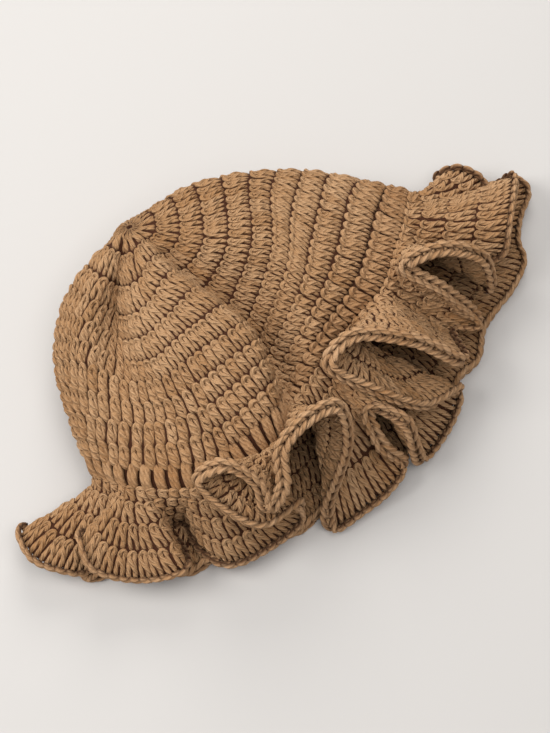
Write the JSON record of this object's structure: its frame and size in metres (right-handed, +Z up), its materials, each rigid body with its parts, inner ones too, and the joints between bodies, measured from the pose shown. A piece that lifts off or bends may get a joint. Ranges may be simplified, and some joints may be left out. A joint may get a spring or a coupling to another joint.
{
  "type": "crochet bucket hat",
  "caption": "Crocheted bucket hat with a gathered ruffle brim, lying on its side and half flattened.",
  "frame": {"origin": "middle of the bounding box at the table", "axes": "+Z up from the table, +Y from the head opening towards the crown's centre, +X along the rim"},
  "size_m": [0.3566, 0.2107, 0.0772],
  "materials": {
    "yarn": "matt cotton yarn",
    "yarn_deep": "matt cotton yarn, in its own shade",
    "yarn_edge": "matt cotton cord"
  },
  "bodies": {
    "root": {"crown_top": "yarn", "side_wall": "yarn", "gather_band": "yarn_deep", "ruffle": "yarn", "edge_trim": "yarn_edge"}
  },
  "joints": []
}
